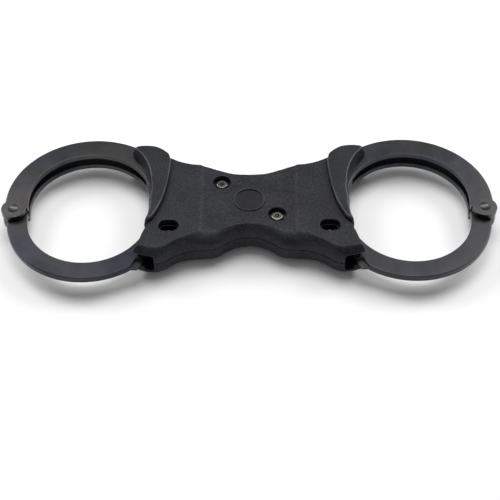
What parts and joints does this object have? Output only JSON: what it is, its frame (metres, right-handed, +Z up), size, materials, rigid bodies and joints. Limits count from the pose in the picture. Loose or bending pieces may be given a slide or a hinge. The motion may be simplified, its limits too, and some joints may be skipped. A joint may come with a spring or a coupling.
{
  "type": "rigid handcuffs",
  "caption": "Rigid handcuffs with two swing-through ratchet cuffs, double cheek plates and locks held in a waisted moulded grip with raised hoods",
  "frame": {"origin": "centre of the bounding box in plan, on the surface that the lower hoods rest on", "axes": "+X runs from the left cuff to the right cuff, +Y from the mouths of the cuffs to the closed cheeks, +Z up through the key slots"},
  "size_m": [0.234, 0.0866, 0.021],
  "materials": {
    "black_nylon": "fine moulded grain, glass-filled nylon",
    "badge_plastic": "satin moulded disc",
    "blued_plate": "black oxide, satin",
    "blued_arm": "black oxide, satin",
    "gunmetal_rivet": "gunmetal, polished dome",
    "gunmetal_screw": "zinc-nickel, satin",
    "bare_steel": "ground and oiled",
    "spring_steel": "tempered strip",
    "insert_brass": "turned"
  },
  "bodies": {
    "frame": {"grip_upper_shell": "black_nylon", "grip_lower_shell": "black_nylon", "badge_disc": "badge_plastic", "clamp_screws": "gunmetal_screw", "threaded_inserts": "insert_brass", "core_plate": "bare_steel", "left_cheek_plate_upper": "blued_plate", "left_cheek_plate_lower": "blued_plate", "left_pivot_rivet": "gunmetal_rivet", "left_lock_frame": "bare_steel", "left_pawl_pin": "bare_steel", "left_pawl_spring": "spring_steel", "left_double_lock_spring": "spring_steel", "left_key_post": "bare_steel", "left_case_rivets": "gunmetal_rivet", "right_cheek_plate_upper": "blued_plate", "right_cheek_plate_lower": "blued_plate", "right_pivot_rivet": "gunmetal_rivet", "right_lock_frame": "bare_steel", "right_pawl_pin": "bare_steel", "right_pawl_spring": "spring_steel", "right_double_lock_spring": "spring_steel", "right_key_post": "bare_steel", "right_case_rivets": "gunmetal_rivet"},
    "left_arm": {"left_ratchet_arm": "blued_arm"},
    "left_pawl_body": {"left_pawl": "bare_steel"},
    "left_lock_bar": {"left_double_lock_bar": "bare_steel"},
    "right_arm": {"right_ratchet_arm": "blued_arm"},
    "right_pawl_body": {"right_pawl": "bare_steel"},
    "right_lock_bar": {"right_double_lock_bar": "bare_steel"}
  },
  "joints": [
    {"name": "left_cuff_swing", "type": "hinge", "parent": "frame", "child": "left_arm", "pos_m": [-0.11125, -0.00275, 0.0105], "axis": [0, 0, 1], "continuous": true},
    {"name": "left_pawl_rock", "type": "hinge", "parent": "frame", "child": "left_pawl_body", "pos_m": [-0.0384, -0.00595, 0.0105], "axis": [0, 0, -1], "range_deg": [0, 8], "stiffness_Nm_per_rad": 0.05, "springref_deg": -5.73, "deforming": ["left_pawl_spring"]},
    {"name": "left_double_lock_slide", "type": "slide", "parent": "frame", "child": "left_lock_bar", "axis": [0, 1, 0], "range_m": [-0.0032, 0]},
    {"name": "right_cuff_swing", "type": "hinge", "parent": "frame", "child": "right_arm", "pos_m": [0.11125, -0.00275, 0.0105], "axis": [0, 0, -1], "continuous": true},
    {"name": "right_pawl_rock", "type": "hinge", "parent": "frame", "child": "right_pawl_body", "pos_m": [0.0384, -0.00595, 0.0105], "axis": [0, 0, 1], "range_deg": [0, 8], "stiffness_Nm_per_rad": 0.05, "springref_deg": -5.73, "deforming": ["right_pawl_spring"]},
    {"name": "right_double_lock_slide", "type": "slide", "parent": "frame", "child": "right_lock_bar", "axis": [0, 1, 0], "range_m": [-0.0032, 0]}
  ]
}
